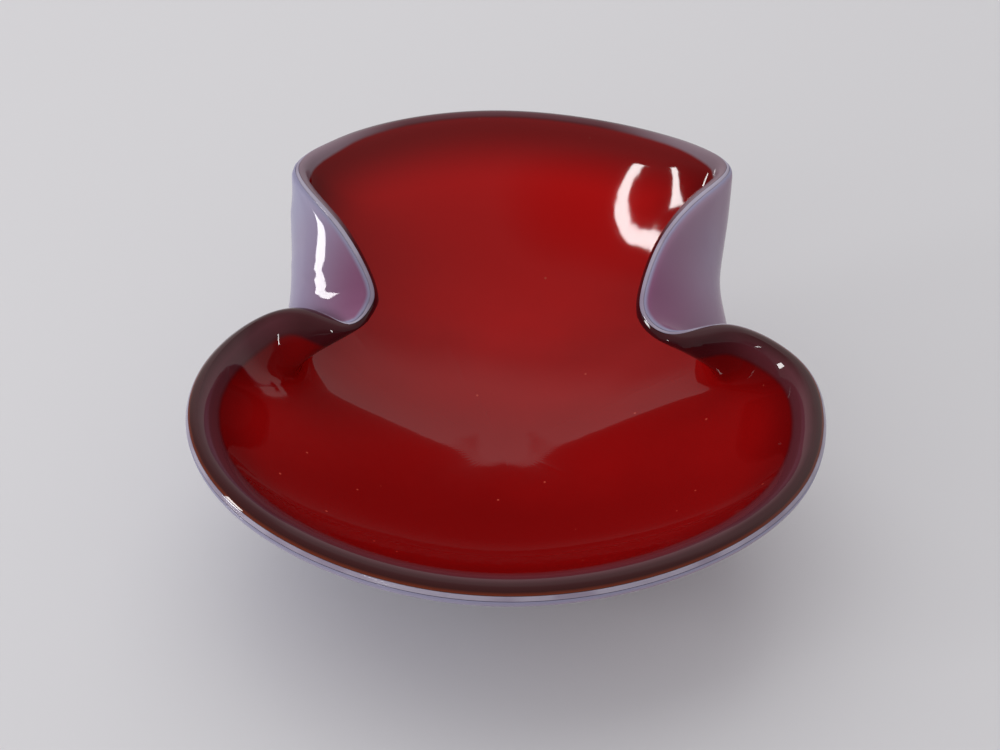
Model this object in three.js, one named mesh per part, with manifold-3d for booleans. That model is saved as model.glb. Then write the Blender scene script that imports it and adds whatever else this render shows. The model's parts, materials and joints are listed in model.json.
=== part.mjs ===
// A hand-blown bowl of cased glass, in millimetres, +Z up. Its origin is under the middle of the
// bowl, on the surface that the foot stands on, and the low lip faces -Y.
//
// The wall is one thickness of glass made of three coats fused together in the furnace: a clear
// ruby lining inside, a thin opal core, and a lilac casing outside. While it is hot the wall is
// pressed in at two places, so that the back stands up like a shell between two deep folds and
// the front opens into a low, round lobe.
import * as THREE from "three";
import { mergeVertices } from "three/addons/utils/BufferGeometryUtils.js";
import Module from "manifold-3d";

// Driving dimensions.
const WALL = 6.8; // thickness of the wall, which the lip is rounded over
const FLOOR_HEIGHT = 12; // from the standing surface to the lowest point inside
const FOOT_GLASS = 15; // extra glass gathered under the middle of the floor, before it is ground
const COAT_GAP = 0.35; // space kept between coats that are fused in the real bowl
const FLOOR_RADIUS = 100; // how round the floor is in the middle

// Mesh density.
const COLUMNS_PER_STATION = 5;
const WALL_RINGS = 12;
const LIP_STEPS = 3;

// Where each coat lies in the wall, as shares of its thickness from the middle, outwards
// positive.
const COATS = {
  ruby_lining: { from: -0.5, to: 0.12, color: 0x8c0a0c },
  opal_core: { from: 0.12, to: 0.3, color: 0xe9e2da },
  lilac_casing: { from: 0.3, to: 0.5, color: 0x9a8fb0 },
};

// Below the folds the bowl is nearly round. The wall leaves the floor through the belly and then
// the side, whose radii and heights change smoothly from the back, past the left and right, to
// the front.
const FLOOR_MIDDLE = new THREE.Vector3(0, 0, FLOOR_HEIGHT - WALL / 2);
const BELLY = { radius: [43, 45, 40], height: [17.5, 16.6, 12.5] };
const SIDE = { radius: [54, 59, 51], height: [31, 25, 18.5] };
const HIPS = 22; // how strongly both swell behind their widest place and draw in before it

// The bowl, once round from the middle of the back, by way of the left. Each station gives the
// middle of the lip, the compass angle at which the wall under it leaves the floor, and its neck:
// the point that the wall comes from as it runs out to the lip. The bowl is free-blown, so its
// two sides differ.
const STATIONS = [
  { angle: 90, neck: [0, 56.5, 55.5], lip: [0, 66.7, 72.5] }, // middle of the back
  { angle: 110, neck: [-24, 53.5, 55], lip: [-27, 63, 72] },
  { angle: 126, neck: [-42, 48, 54], lip: [-44.5, 55, 71] },
  { angle: 138, neck: [-58, 40.5, 50.5], lip: [-54.3, 45.5, 69] }, // left corner of the back
  { angle: 147, neck: [-65, 31, 44], lip: [-45.5, 32, 63] },
  { angle: 154, neck: [-69.5, 23.5, 36.5], lip: [-37, 20.5, 54] },
  { angle: 160, neck: [-71, 16.5, 31.5], lip: [-35.8, 13.5, 49.6] }, // tip of the left fold
  { angle: 165, neck: [-68.5, 9.5, 29], lip: [-40.5, 7.7, 48.3] },
  { angle: 170, neck: [-67.5, 5.5, 29], lip: [-51, 12.2, 47.8] }, // top of the left lobe
  { angle: 177, neck: [-67, 0, 29.5], lip: [-64.5, 11.3, 44.7] },
  { angle: 190, neck: [-67.5, -11.5, 29.5], lip: [-74.4, -10, 42.6] }, // widest on the left
  { angle: 216, neck: [-56, -34, 28], lip: [-64, -39, 41] },
  { angle: 243, neck: [-29.5, -49.5, 26.5], lip: [-35, -59.5, 39.5] },
  { angle: 270, neck: [0, -55, 26], lip: [0, -66.7, 38.5] }, // middle of the front
  { angle: 298, neck: [30.5, -50, 26.5], lip: [36, -60.5, 39.5] },
  { angle: 325, neck: [57, -35.5, 28], lip: [65, -41, 41] },
  { angle: 347, neck: [67.5, -14, 29.5], lip: [74.7, -15, 42.5] }, // widest on the right
  { angle: 360, neck: [68.5, -4, 29], lip: [70.2, 0.6, 44] },
  { angle: 368, neck: [69, 3, 28.5], lip: [58, 7.3, 46.6] }, // top of the right lobe
  { angle: 374, neck: [70, 7.5, 29], lip: [45, 3.7, 48] },
  { angle: 380, neck: [72, 14, 31.5], lip: [37.5, 9.5, 48.7] }, // tip of the right fold
  { angle: 386, neck: [72, 20.5, 36], lip: [38.2, 18.5, 53] },
  { angle: 392, neck: [67, 27.5, 43.5], lip: [44, 29.5, 60.5] },
  { angle: 398, neck: [64, 34, 48], lip: [53.3, 37.6, 67.5] },
  { angle: 406, neck: [58.5, 40.5, 51.5], lip: [58.3, 45, 70] }, // right corner of the back
  { angle: 418, neck: [43.5, 47, 54], lip: [50.5, 51.6, 71.2] },
  { angle: 434, neck: [24.5, 53, 55], lip: [30, 61, 72] },
];

// A point at a compass angle and distance from the middle of the floor.
function polar(degrees, radius, z) {
  const a = THREE.MathUtils.degToRad(degrees);
  return new THREE.Vector3(radius * Math.cos(a), FLOOR_MIDDLE.y + radius * Math.sin(a), z);
}

// A closed cubic B-spline that passes through the points, one unit of its parameter apart.
function closedSpline(points) {
  const n = points.length;
  const at = (list, i) => list[((i % n) + n) % n];
  const control = points.map((p) => p.clone());
  for (let pass = 0; pass < 40; pass++)
    points.forEach((p, i) => {
      const reached = at(control, i - 1)
        .clone()
        .addScaledVector(at(control, i), 4)
        .add(at(control, i + 1))
        .divideScalar(6);
      control[i].add(p.clone().sub(reached));
    });
  return (s) => {
    const i = Math.floor(s);
    const f = s - i;
    const weights = [
      (1 - f) ** 3 / 6,
      (3 * f ** 3 - 6 * f ** 2 + 4) / 6,
      (-3 * f ** 3 + 3 * f ** 2 + 3 * f + 1) / 6,
      f ** 3 / 6,
    ];
    return weights.reduce(
      (sum, w, k) => sum.addScaledVector(at(control, i - 1 + k), w),
      new THREE.Vector3(),
    );
  };
}

const DEGREES_PER_STATION = 360 / STATIONS.length;
const angleSpline = closedSpline(
  STATIONS.map(({ angle }, i) => new THREE.Vector3(angle - i * DEGREES_PER_STATION)),
);
const neckCurve = closedSpline(STATIONS.map(({ neck }) => new THREE.Vector3(...neck)));
const lipCurve = closedSpline(STATIONS.map(({ lip }) => new THREE.Vector3(...lip)));

// A value that is given at the back, the sides and the front, at any place between them.
function around([back, side, front], towardsBack) {
  const tilt = (back - front) / 2;
  const stretch = (back + front) / 2 - side;
  return side + tilt * towardsBack + stretch * towardsBack ** 2;
}

// The middle of the wall: s runs round the bowl, in stations, and t up it, from the middle of the
// floor to the lip. Each section is a Bezier curve of the fifth degree, level where it crosses
// the middle of the floor.
function middle(s, t) {
  const degrees = angleSpline(s).x + s * DEGREES_PER_STATION;
  const towardsBack = Math.sin(THREE.MathUtils.degToRad(degrees));
  const swell = HIPS * towardsBack * (1 - towardsBack ** 2) ** 2;
  const [belly, side] = [BELLY, SIDE].map(({ radius, height }) =>
    polar(degrees, around(radius, towardsBack) + swell, around(height, towardsBack)),
  );
  const reach = Math.sqrt(0.8 * FLOOR_RADIUS * (belly.z - FLOOR_MIDDLE.z));
  const floor = polar(degrees, reach, FLOOR_MIDDLE.z);
  const hull = [FLOOR_MIDDLE, floor, belly, side, neckCurve(s), lipCurve(s)];
  const weight = (k) => [1, 5, 10, 10, 5, 1][k] * t ** k * (1 - t) ** (5 - k);
  return hull.reduce((sum, p, k) => sum.addScaledVector(p, weight(k)), new THREE.Vector3());
}

// Up the wall, and straight out of it.
const STEP = 1e-3;
function up(s, t) {
  return middle(s, t + STEP)
    .sub(middle(s, t - STEP))
    .normalize();
}
function outward(s, t) {
  if (t < STEP) return new THREE.Vector3(0, 0, -1);
  const round = middle(s + STEP, t).sub(middle(s - STEP, t));
  return round.cross(up(s, t)).normalize();
}

// Which way the wall's thickness runs: outwards, averaged over the stations on either side, so
// that it turns slowly through a fold. It is shorter than one there, because the wall is squeezed
// thin where it doubles back.
function across(s, t) {
  const nearby = [-1, -0.5, 0, 0.5, 1];
  return nearby
    .reduce((sum, step) => sum.add(outward(s + step, t)), new THREE.Vector3())
    .divideScalar(nearby.length);
}

// A point on one side of a coat, at its share of the wall. The outside also carries the glass of
// the foot.
function onSide(s, t, share, gap) {
  const foot = share === 0.5 ? FOOT_GLASS * (1 - t) ** 3 : 0;
  return middle(s, t)
    .addScaledVector(across(s, t), share * WALL + foot)
    .addScaledVector(outward(s, t), gap);
}

// A point on the lip, which is rounded over the whole thickness of the wall.
function onLip(s, share, gap) {
  const height = Math.sqrt(Math.max(0, (WALL / 2) ** 2 - (share * WALL + gap) ** 2));
  return onSide(s, 1, share, gap).addScaledVector(up(s, 1), height * across(s, 1).length());
}

// The triangles of a shell of rings, whose two ends close on the first two points.
function shellFaces(rings, columns) {
  const vertex = (ring, column) => 2 + ring * columns + (column % columns);
  const faces = [];
  for (let c = 0; c < columns; c++) {
    faces.push(0, vertex(0, c + 1), vertex(0, c));
    for (let r = 0; r + 1 < rings; r++) {
      faces.push(vertex(r, c), vertex(r + 1, c + 1), vertex(r + 1, c));
      faces.push(vertex(r, c), vertex(r, c + 1), vertex(r + 1, c + 1));
    }
    faces.push(vertex(rings - 1, c), vertex(rings - 1, c + 1), 1);
  }
  return faces;
}

// One coat as a closed shell: up its outer side, over the lip, and down its inner side.
function coatGeometry(from, to) {
  const outer = [to, to === 0.5 ? 0 : -COAT_GAP / 2];
  const inner = [from, from === -0.5 ? 0 : COAT_GAP / 2];
  const rings = [];
  for (let i = 1; i <= WALL_RINGS; i++) {
    rings.push((s) => onSide(s, i / WALL_RINGS, ...outer));
  }
  for (let i = 0; i <= LIP_STEPS; i++) {
    const place = outer.map((value, k) => THREE.MathUtils.lerp(value, inner[k], i / LIP_STEPS));
    if (Math.abs(place[0]) < 0.5) rings.push((s) => onLip(s, ...place));
  }
  for (let i = WALL_RINGS; i >= 1; i--) {
    rings.push((s) => onSide(s, i / WALL_RINGS, ...inner));
  }

  const columns = STATIONS.length * COLUMNS_PER_STATION;
  const points = [onSide(0, 0, ...outer), onSide(0, 0, ...inner)];
  for (const ring of rings) {
    for (let c = 0; c < columns; c++) points.push(ring(c / COLUMNS_PER_STATION));
  }
  const geometry = new THREE.BufferGeometry().setFromPoints(points);
  geometry.setIndex(shellFaces(rings.length, columns));
  return geometry;
}

// The foot is ground flat: everything under the standing surface comes off.
async function groundFlat(geometry) {
  const wasm = await Module();
  wasm.setup();
  const solid = (g) => {
    g.deleteAttribute("normal");
    g.deleteAttribute("uv");
    const merged = mergeVertices(g);
    return new wasm.Manifold(
      new wasm.Mesh({
        numProp: 3,
        vertProperties: merged.attributes.position.array,
        triVerts: new Uint32Array(merged.index.array),
      }),
    );
  };
  const wheel = new THREE.BoxGeometry(200, 200, 20).translate(0, 0, -10);
  const mesh = solid(geometry).subtract(solid(wheel)).getMesh();
  const ground = new THREE.BufferGeometry();
  ground.setAttribute("position", new THREE.BufferAttribute(mesh.vertProperties, 3));
  ground.setIndex(new THREE.BufferAttribute(mesh.triVerts, 1));
  return ground;
}

const bowl = new THREE.Group();
for (const [name, { from, to, color }] of Object.entries(COATS)) {
  let geometry = coatGeometry(from, to);
  if (to === 0.5) geometry = await groundFlat(geometry);
  geometry.computeVertexNormals();
  const material = new THREE.MeshStandardMaterial({ color, roughness: 0.05, metalness: 0 });
  const coat = new THREE.Mesh(geometry, material);
  coat.name = name;
  bowl.add(coat);
}

export default bowl;
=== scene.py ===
import json
import math
import bpy
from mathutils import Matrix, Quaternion, Vector
from mathutils.bvhtree import BVHTree

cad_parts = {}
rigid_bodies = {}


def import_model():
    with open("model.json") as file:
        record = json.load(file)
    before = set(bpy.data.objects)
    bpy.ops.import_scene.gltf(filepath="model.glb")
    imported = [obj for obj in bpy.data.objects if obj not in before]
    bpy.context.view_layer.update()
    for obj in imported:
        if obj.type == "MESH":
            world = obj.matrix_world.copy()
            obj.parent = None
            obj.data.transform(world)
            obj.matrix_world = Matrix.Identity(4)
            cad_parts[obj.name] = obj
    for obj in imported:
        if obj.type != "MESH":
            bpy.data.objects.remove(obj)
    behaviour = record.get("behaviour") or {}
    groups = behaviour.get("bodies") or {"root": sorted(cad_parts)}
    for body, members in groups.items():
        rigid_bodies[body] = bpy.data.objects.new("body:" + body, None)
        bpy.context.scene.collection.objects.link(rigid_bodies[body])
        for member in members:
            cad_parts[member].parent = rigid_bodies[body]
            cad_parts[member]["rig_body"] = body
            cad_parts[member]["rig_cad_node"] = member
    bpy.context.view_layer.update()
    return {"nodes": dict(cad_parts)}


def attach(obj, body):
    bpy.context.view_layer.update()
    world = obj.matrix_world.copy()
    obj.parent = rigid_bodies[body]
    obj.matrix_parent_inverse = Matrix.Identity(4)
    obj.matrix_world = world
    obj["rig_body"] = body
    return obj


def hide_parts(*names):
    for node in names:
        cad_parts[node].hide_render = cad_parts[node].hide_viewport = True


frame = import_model()
mm = 0.001


# the colour of a hex value, turned from sRGB to linear
def hexColor(text):
    parts = [int(text[i:i + 2], 16) / 255 for i in (1, 3, 5)]
    return [c / 12.92 if c <= 0.04045 else ((c + 0.055) / 1.055) ** 2.4 for c in parts] + [1.0]


# adds one node to a tree, with its settings and the links into its sockets
def addNode(tree, kind, settings=None, inputs=None):
    node = tree.nodes.new(kind)
    for name, value in (settings or {}).items():
        setattr(node, name, value)
    for name, value in (inputs or {}).items():
        if isinstance(value, bpy.types.NodeSocket):
            tree.links.new(value, node.inputs[name])
        else:
            node.inputs[name].default_value = value
    return node


# a ramp between hex colours at given places
def addRamp(tree, factor, stops, smooth=True):
    node = addNode(tree, "ShaderNodeValToRGB", {}, {"Fac": factor})
    node.color_ramp.interpolation = "EASE" if smooth else "LINEAR"
    while len(node.color_ramp.elements) < len(stops):
        node.color_ramp.elements.new(0.5)
    for element, (place, color) in zip(node.color_ramp.elements, stops):
        element.position = place
        element.color = hexColor(color)
    return node.outputs["Color"]


# one colour laid over another, by a factor
def addBlend(tree, factor, under, over):
    node = addNode(tree, "ShaderNodeMix", {"data_type": "RGBA"}, {0: factor})
    for socket, color in ((6, under), (7, over)):
        if isinstance(color, str):
            node.inputs[socket].default_value = hexColor(color)
        else:
            tree.links.new(color, node.inputs[socket])
    return node.outputs[2]


# a value carried over from one range to another
def addRange(tree, value, fromMin, fromMax, toMin, toMax):
    node = addNode(tree, "ShaderNodeMapRange", {"interpolation_type": "SMOOTHSTEP"}, {
        "Value": value, "From Min": fromMin, "From Max": fromMax, "To Min": toMin, "To Max": toMax})
    return node.outputs["Result"]


# tiny round seeds of trapped air, about a given size in millimetres, as a mask
def addSeeds(tree, place, spacing, size):
    core, edge = 0.3 * size / spacing, 0.6 * size / spacing
    leftOut = 0.72  # the share of the cells that get no seed
    cells = addNode(tree, "ShaderNodeTexVoronoi", {}, {
        "Vector": place, "Scale": 1 / (spacing * mm), "Randomness": 1.0})
    near = addRange(tree, cells.outputs["Distance"], core, edge, 1.0, 0.0)
    chance = addNode(tree, "ShaderNodeSeparateColor", {}, {"Color": cells.outputs["Color"]})
    chosen = addNode(tree, "ShaderNodeMath", {"operation": "GREATER_THAN"}, {
        0: chance.outputs["Red"], 1: leftOut})
    mask = addNode(tree, "ShaderNodeMath", {"operation": "MULTIPLY"}, {
        0: near, 1: chosen.outputs[0]})
    return mask.outputs[0]


# a new material with its Principled shader, and the coordinates of the object
def newMaterial(name):
    material = bpy.data.materials.new(name)
    material.use_nodes = True
    tree = material.node_tree
    shader = tree.nodes["Principled BSDF"]
    place = addNode(tree, "ShaderNodeTexCoord").outputs["Object"]
    return material, tree, shader, place


# a smooth copy of a CAD coat, closed up to its neighbours
def coatPiece(node, name, values):
    mergeDistance = 0.001 * mm
    quadAngle = math.radians(60)
    sharpAngle = math.radians(values["sharpAngle"])
    bpy.ops.object.select_all(action="DESELECT")
    source = frame["nodes"][node]
    source.select_set(True)
    bpy.context.view_layer.objects.active = source
    bpy.ops.object.duplicate()
    piece = bpy.context.active_object
    piece.name = name
    piece.parent = None
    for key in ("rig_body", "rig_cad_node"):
        if key in piece:
            del piece[key]
    bpy.ops.object.mode_set(mode="EDIT")
    bpy.ops.mesh.select_all(action="SELECT")
    bpy.ops.mesh.remove_doubles(threshold=mergeDistance)
    bpy.ops.mesh.customdata_custom_splitnormals_clear()
    bpy.ops.mesh.tris_convert_to_quads(face_threshold=quadAngle, shape_threshold=quadAngle)
    bpy.ops.mesh.select_all(action="DESELECT")
    bpy.ops.mesh.select_mode(type="EDGE")
    bpy.ops.mesh.edges_select_sharp(sharpness=sharpAngle)
    bpy.ops.transform.edge_crease(value=1)
    bpy.ops.object.mode_set(mode="OBJECT")
    smooth = piece.modifiers.new("smooth", "SUBSURF")
    smooth.levels = values["smoothLevels"]
    smooth.render_levels = values["smoothLevels"]
    bpy.ops.object.modifier_apply(modifier="smooth")
    swell = piece.modifiers.new("swell", "DISPLACE")
    swell.mid_level = 0
    swell.strength = values["closeGap"] * mm
    bpy.ops.object.modifier_apply(modifier="swell")
    for vertex in piece.data.vertices:  # the ground foot stays on the table
        vertex.co.z = max(vertex.co.z, 0)
    piece.data.materials.clear()
    bpy.ops.object.shade_smooth_by_angle(angle=sharpAngle)
    return piece


# the faces of the opal that show along the lip: those that don't face either of its neighbours
def lipStrip():
    facing = 0.75  # from this on, a face of the opal counts as facing a neighbour
    trees = []
    for node in ("ruby_lining", "lilac_casing"):
        mesh = frame["nodes"][node].data
        trees.append(BVHTree.FromPolygons(
            [v.co for v in mesh.vertices], [p.vertices for p in mesh.polygons]))
    opalMesh = frame["nodes"]["opal_core"].data
    shown = []
    for face in opalMesh.polygons:
        nearest = [tree.find_nearest(face.center)[0] for tree in trees]
        ways = [(point - face.center).normalized() for point in nearest]
        if all(abs(way.dot(face.normal)) < facing for way in ways):
            shown.append(face.vertices)
    return BVHTree.FromPolygons([v.co for v in opalMesh.vertices], shown)


# how far each point of a piece is from that strip, kept on the mesh in millimetres
def markLip(piece):
    layer = piece.data.attributes.new("lip", "FLOAT", "POINT")
    for i, vertex in enumerate(piece.data.vertices):
        layer.data[i].value = strip.find_nearest(vertex.co)[3] / mm


# how far each point of a piece is, seen from above, from the nearer of the tips of the two folds
def markFold(piece, tips):
    layer = piece.data.attributes.new("fold", "FLOAT", "POINT")
    for i, vertex in enumerate(piece.data.vertices):
        reaches = [math.dist(vertex.co[:2], (x * mm, y * mm)) for x, y in tips]
        layer.data[i].value = min(reaches) / mm


# the material, the body, the CAD node that is replaced and the slot of a piece
def dress(piece, material, node):
    piece.data.materials.append(material)
    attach(piece, "root")
    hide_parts(node)


strip = lipStrip()
foldTips = [(-34, 14), (36, 11)]  # mm

# ruby lining
rubyValues = {
    # from the front lobe to the back: painted shade, darker on the front lobe and floor and lighter
    # towards the back wall
    "wallColors": [(0.0, "#780809"), (0.3, "#7f0809"), (0.5, "#940a0b"), (0.68, "#a60c0c"),
                   (0.82, "#be1010")],
    "middleShade": 0.42,
    "cloudContrast": 0.16,
    "paintedLightTowardsBack": 7.0,  # per metre, how fast the painted shade lightens towards the back
    "paintedUnderLipShadeColor": "#5e0507",  # painted shade below the lip, under its overhang
    "paintedUnderLipShadeReach": (5.0, 20.0),  # mm from the opal
    "paintedUnderLipShadeAmount": 0.85,
    # over the lip, in tens of millimetres from the opal: an orange-brown line, brown-red, then a
    # painted reflection of the pale room in mauve on the inside and painted shade where the band
    # fades out
    "lipColorsWithPaintedReflection": [(0.0, "#7c3a1c"), (0.05, "#6a2812"), (0.11, "#360c0a"), (0.28, "#3c1317"),
                  (0.42, "#582830"), (0.68, "#54242b"), (0.8, "#48060a")],
    "lipEdge": (7.0, 8.4),  # mm from the opal to where the band over the lip fades out
    "narrowHeights": (50 * mm, 66 * mm),
    "narrowing": 1.9,
    "paintedFoldShadeColor": "#3d1117",  # painted shade where the lip turns through a fold
    "paintedFoldShadeReach": (16.0, 30.0),  # mm from the tip of the fold
    "cornerColor": "#85707a",  # the lip at the corners of the back
    "cornerAside": (25 * mm, 52 * mm),
    "cornerHeights": (60 * mm, 68 * mm),
    "seedColor": "#c2483a",
    "cloudSize": 30,  # mm
    "rippleSize": 5,
    "seedSpacing": 6,
    "seedSize": 0.7,
    "sharpAngle": 40,
    "smoothLevels": 2,
    "closeGap": 0.18,  # mm
    "rippleStrength": 0.05,
    "rippleDepth": 0.2,  # mm
    "roughness": 0.035,
    "ior": 1.52,
}
ruby = coatPiece("ruby_lining", "rubyLining", rubyValues)
markLip(ruby)
markFold(ruby, foldTips)
# clear ruby glass, blown and fire-polished: a deep, wet red, darker and browner over the lip;
# painted shade darkens it towards the front lobe, below the lip and in the folds, and the mauve
# over the lip is a painted reflection
rubyGlass, tree, shader, place = newMaterial("firePolishedRubyGlass")
clouds = addNode(tree, "ShaderNodeTexNoise", {}, {
    "Vector": place, "Scale": 1 / (rubyValues["cloudSize"] * mm), "Detail": 3.0, "Roughness": 0.55})
depth = addNode(tree, "ShaderNodeSeparateXYZ", {}, {"Vector": place})
cloudy = addNode(tree, "ShaderNodeMath", {"operation": "MULTIPLY_ADD"}, {
    0: clouds.outputs["Fac"], 1: rubyValues["cloudContrast"], 2: rubyValues["middleShade"]})
# painted shade: darker towards the front lobe and floor, lighter towards the back, over random
# clouds
shade = addNode(tree, "ShaderNodeMath", {"operation": "MULTIPLY_ADD"}, {
    0: depth.outputs["Y"], 1: rubyValues["paintedLightTowardsBack"], 2: cloudy.outputs[0]})
body = addRamp(tree, shade.outputs[0], rubyValues["wallColors"])
seeds = addSeeds(tree, place, rubyValues["seedSpacing"], rubyValues["seedSize"])
body = addBlend(tree, seeds, body, rubyValues["seedColor"])
lip = addNode(tree, "ShaderNodeAttribute", {"attribute_name": "lip"}).outputs["Fac"]
# painted shade below the lip, under its overhang
paintedUnderLipShade = addRange(tree, lip, *rubyValues["paintedUnderLipShadeReach"], rubyValues["paintedUnderLipShadeAmount"], 0.0)
body = addBlend(tree, paintedUnderLipShade, body, rubyValues["paintedUnderLipShadeColor"])
fold = addNode(tree, "ShaderNodeAttribute", {"attribute_name": "fold"}).outputs["Fac"]
# the band over the lip is narrower on the tall back
tall = addRange(
    tree, depth.outputs["Z"], *rubyValues["narrowHeights"], 1.0, rubyValues["narrowing"])
narrow = addNode(tree, "ShaderNodeMath", {"operation": "MULTIPLY"}, {0: lip, 1: tall}).outputs[0]
tens = addNode(tree, "ShaderNodeMath", {"operation": "MULTIPLY"}, {0: narrow, 1: 0.1})
# the lip band: brown tones, with a painted reflection in mauve and painted shade at its inner edge
lipWithPaintedLight = addRamp(tree, tens.outputs[0], rubyValues["lipColorsWithPaintedReflection"], False)
# painted shade where the lip turns through a fold
paintedFoldShade = addRange(tree, fold, *rubyValues["paintedFoldShadeReach"], 1.0, 0.0)
lipWithPaintedLight = addBlend(tree, paintedFoldShade, lipWithPaintedLight, rubyValues["paintedFoldShadeColor"])
aside = addNode(tree, "ShaderNodeMath", {"operation": "ABSOLUTE"}, {0: depth.outputs["X"]})
corner = addNode(tree, "ShaderNodeMath", {"operation": "MULTIPLY"}, {
    0: addRange(tree, aside.outputs[0], *rubyValues["cornerAside"], 0.0, 1.0),
    1: addRange(tree, depth.outputs["Z"], *rubyValues["cornerHeights"], 0.0, 1.0)})
lipWithPaintedLight = addBlend(tree, corner.outputs[0], lipWithPaintedLight, rubyValues["cornerColor"])
lipBandWithPaintedLight = addRange(tree, narrow, *rubyValues["lipEdge"], 1.0, 0.0)
body = addBlend(tree, lipBandWithPaintedLight, body, lipWithPaintedLight)
tree.links.new(body, shader.inputs["Base Color"])
# hand-worked glass is never quite even, so it ripples very slightly
ripple = addNode(tree, "ShaderNodeTexNoise", {}, {
    "Vector": place, "Scale": 1 / (rubyValues["rippleSize"] * mm), "Detail": 1.0})
bump = addNode(tree, "ShaderNodeBump", {}, {
    "Strength": rubyValues["rippleStrength"], "Distance": rubyValues["rippleDepth"] * mm,
    "Height": ripple.outputs["Fac"]})
tree.links.new(bump.outputs["Normal"], shader.inputs["Normal"])
shader.inputs["Roughness"].default_value = rubyValues["roughness"]
shader.inputs["IOR"].default_value = rubyValues["ior"]
dress(ruby, rubyGlass, "ruby_lining")
print("ruby lining made")

# opal core
opalValues = {
    "milkColors": [(0.35, "#93879a"), (0.6, "#a8a0b1")],  # from the veils in it to the milk
    "cloudSize": 12,
    "sharpAngle": 40,
    "smoothLevels": 2,
    "closeGap": 0.18,
    "roughness": 0.08,
    "ior": 1.52,
}
opal = coatPiece("opal_core", "opalCore", opalValues)
# opal glass between two coats: dense and milky, a pale lilac where it shows along the lip
opalGlass, tree, shader, place = newMaterial("casedOpalGlass")
clouds = addNode(tree, "ShaderNodeTexNoise", {}, {
    "Vector": place, "Scale": 1 / (opalValues["cloudSize"] * mm), "Detail": 2.0})
milk = addRamp(tree, clouds.outputs["Fac"], opalValues["milkColors"])
tree.links.new(milk, shader.inputs["Base Color"])
shader.inputs["Roughness"].default_value = opalValues["roughness"]
shader.inputs["IOR"].default_value = opalValues["ior"]
dress(opal, opalGlass, "opal_core")
print("opal core made")

# lilac casing
lilacValues = {
    "wallColors": [(0.15, "#a19eb8"), (0.85, "#9a8093")],  # from the left to the right
    "shadeTowardsRight": 4.5,  # per metre
    "paintedFoldShadeColor": "#80506f",  # painted shade in the middle of the folds
    "paintedFoldShadeReach": (3.0, 32.0),  # mm from the tip of the fold
    "lipColor": "#8f8ba6",
    "lipReach": (0.5, 1.6),  # mm from the opal
    "seedColor": "#a9a2ba",
    "cloudSize": 40,
    "rippleSize": 6,
    "seedSpacing": 9,
    "seedSize": 0.5,
    "sharpAngle": 40,
    "smoothLevels": 2,
    "closeGap": 0.18,
    "rippleStrength": 0.05,
    "rippleDepth": 0.2,
    "roughness": 0.04,
    "ior": 1.52,
}
lilac = coatPiece("lilac_casing", "lilacCasing", lilacValues)
markLip(lilac)
markFold(lilac, foldTips)
# lilac glass over opal, blown and fire-polished: milky and wet, blue-grey to mauve
lilacGlass, tree, shader, place = newMaterial("firePolishedLilacGlass")
clouds = addNode(tree, "ShaderNodeTexNoise", {}, {
    "Vector": place, "Scale": 1 / (lilacValues["cloudSize"] * mm), "Detail": 3.0, "Roughness": 0.5})
sides = addNode(tree, "ShaderNodeSeparateXYZ", {}, {"Vector": place})
tint = addNode(tree, "ShaderNodeMath", {"operation": "MULTIPLY_ADD"}, {
    0: sides.outputs["X"], 1: lilacValues["shadeTowardsRight"], 2: clouds.outputs["Fac"]})
body = addRamp(tree, tint.outputs[0], lilacValues["wallColors"])
seeds = addSeeds(tree, place, lilacValues["seedSpacing"], lilacValues["seedSize"])
body = addBlend(tree, seeds, body, lilacValues["seedColor"])
fold = addNode(tree, "ShaderNodeAttribute", {"attribute_name": "fold"}).outputs["Fac"]
# painted shade in the middle of the folds
paintedFoldShade = addRange(tree, fold, *lilacValues["paintedFoldShadeReach"], 1.0, 0.0)
body = addBlend(tree, paintedFoldShade, body, lilacValues["paintedFoldShadeColor"])
lip = addNode(tree, "ShaderNodeAttribute", {"attribute_name": "lip"}).outputs["Fac"]
nearLip = addRange(tree, lip, *lilacValues["lipReach"], 1.0, 0.0)
body = addBlend(tree, nearLip, body, lilacValues["lipColor"])
tree.links.new(body, shader.inputs["Base Color"])
ripple = addNode(tree, "ShaderNodeTexNoise", {}, {
    "Vector": place, "Scale": 1 / (lilacValues["rippleSize"] * mm), "Detail": 1.0})
bump = addNode(tree, "ShaderNodeBump", {}, {
    "Strength": lilacValues["rippleStrength"], "Distance": lilacValues["rippleDepth"] * mm,
    "Height": ripple.outputs["Fac"]})
tree.links.new(bump.outputs["Normal"], shader.inputs["Normal"])
shader.inputs["Roughness"].default_value = lilacValues["roughness"]
shader.inputs["IOR"].default_value = lilacValues["ior"]
dress(lilac, lilacGlass, "lilac_casing")
print("lilac casing made")

# floor
floorValues = {
    "size": 4.0,  # metres
    "color": "#d6d5d7",
    "roughness": 0.24,
    "roughnessSpread": 0.05,
    "cloudsPerMetre": 6.0,
    "specular": 0.3,
}
bpy.ops.object.select_all(action="DESELECT")
bpy.ops.mesh.primitive_plane_add(size=floorValues["size"], location=(0, 0, 0))
floor = bpy.context.active_object
floor.name = "tableTop"
# a smooth, white-coated table top: a soft sheen that is a little uneven
table, tree, shader, place = newMaterial("glazedWhiteTable")
clouds = addNode(tree, "ShaderNodeTexNoise", {}, {
    "Vector": place, "Scale": floorValues["cloudsPerMetre"], "Detail": 2.0})
sheen = addNode(tree, "ShaderNodeMapRange", {}, {
    "Value": clouds.outputs["Fac"],
    "To Min": floorValues["roughness"] - floorValues["roughnessSpread"],
    "To Max": floorValues["roughness"] + floorValues["roughnessSpread"]})
tree.links.new(sheen.outputs["Result"], shader.inputs["Roughness"])
shader.inputs["Base Color"].default_value = hexColor(floorValues["color"])
shader.inputs["Specular IOR Level"].default_value = floorValues["specular"]
floor.data.materials.append(table)
print("floor made")

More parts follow.
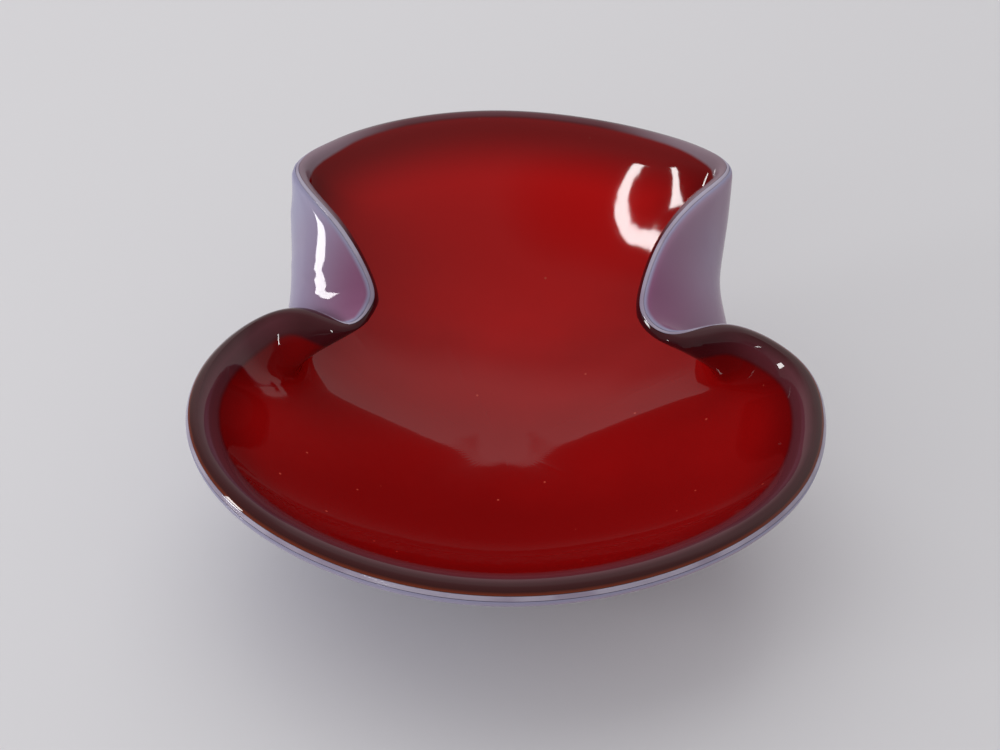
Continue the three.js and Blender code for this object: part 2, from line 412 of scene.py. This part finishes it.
# light and camera
lightValues = {
    "roomColor": "#c9c8ca",
    "roomStrength": 1.0,
    # what reflections show, from the near side of the room to the far side
    "mirrored": [(0.04, "#3e3c3d"), (0.12, "#7a7879"), (0.3, "#858384"), (0.5, "#908e90"),
                 (0.75, "#c4c3c5"), (0.95, "#cfced0")],
    "farSide": (0.2, 0.42, 0.12),
    "rampMiddle": 0.5,
    "aim": (0, 0, 0.04),
    "lamps": {
        "softboxBehind": {"place": (-0.25, 0.7, 1.25), "width": 2.0, "height": 1.5, "power": 9.0,
                          "roll": 0, "inReflections": False, "onSurfaces": True},
        "softboxFront": {"place": (-0.75, -0.9, 0.55), "width": 1.0, "height": 0.6, "power": 2.0,
                         "roll": 0, "inReflections": False, "onSurfaces": True},
        "windowLeft": {"place": (-0.95, -0.2, 0.3), "width": 0.13, "height": 0.28, "power": 1.8,
                       "roll": 0, "inReflections": True, "onSurfaces": True},
        "windowFront": {"place": (-0.482, -0.79, 0.216), "width": 0.03, "height": 0.24,
                        "power": 0.42, "roll": 24, "inReflections": True, "onSurfaces": False},
    },
}
world = bpy.data.worlds.new("paleRoom")
bpy.context.scene.world = world
world.use_nodes = True
tree = world.node_tree
# reflections show a room that is pale behind the bowl and dim on the near side; all other light
# from it is even
sight = addNode(tree, "ShaderNodeTexCoord").outputs["Generated"]
behind = addNode(tree, "ShaderNodeVectorMath", {"operation": "DOT_PRODUCT"}, {
    0: sight, 1: lightValues["farSide"]})
place = addNode(tree, "ShaderNodeMath", {"operation": "ADD"}, {
    0: behind.outputs["Value"], 1: lightValues["rampMiddle"]})
mirrored = addRamp(tree, place.outputs[0], lightValues["mirrored"])
ray = addNode(tree, "ShaderNodeLightPath")
room = addBlend(tree, ray.outputs["Is Glossy Ray"], lightValues["roomColor"], mirrored)
background = tree.nodes["Background"]
tree.links.new(room, background.inputs["Color"])
background.inputs["Strength"].default_value = lightValues["roomStrength"]


# an area light that faces the bowl, turned a little about the line to it
def addLamp(name, place, width, height, power, roll, inReflections, onSurfaces):
    bpy.ops.object.light_add(type="AREA", location=place)
    lamp = bpy.context.active_object
    lamp.name = name
    lamp.data.shape = "RECTANGLE"
    lamp.data.size = width
    lamp.data.size_y = height
    lamp.data.energy = power
    facing = (Vector(lightValues["aim"]) - lamp.location).to_track_quat("-Z", "Y")
    lamp.rotation_euler = (facing @ Quaternion((0, 0, 1), math.radians(roll))).to_euler()
    lamp.visible_camera = False
    lamp.visible_glossy = inReflections
    lamp.visible_diffuse = onSurfaces


for lampName, lampValues in lightValues["lamps"].items():
    addLamp(lampName, **lampValues)

cameraValues = {
    "place": (-0.001, -0.21941, 0.24401),
    "target": (-0.001, 0.00365, 0.036),
    "lens": 42.48,  # mm
    "sensorWidth": 36,
}
bpy.ops.object.camera_add(location=cameraValues["place"])
camera = bpy.context.active_object
camera.data.lens = cameraValues["lens"]
camera.data.sensor_width = cameraValues["sensorWidth"]
sight = Vector(cameraValues["target"]) - camera.location
camera.rotation_euler = sight.to_track_quat("-Z", "Y").to_euler()
bpy.context.scene.camera = camera
bpy.context.scene.view_settings.view_transform = "Standard"
print("lights and camera set")
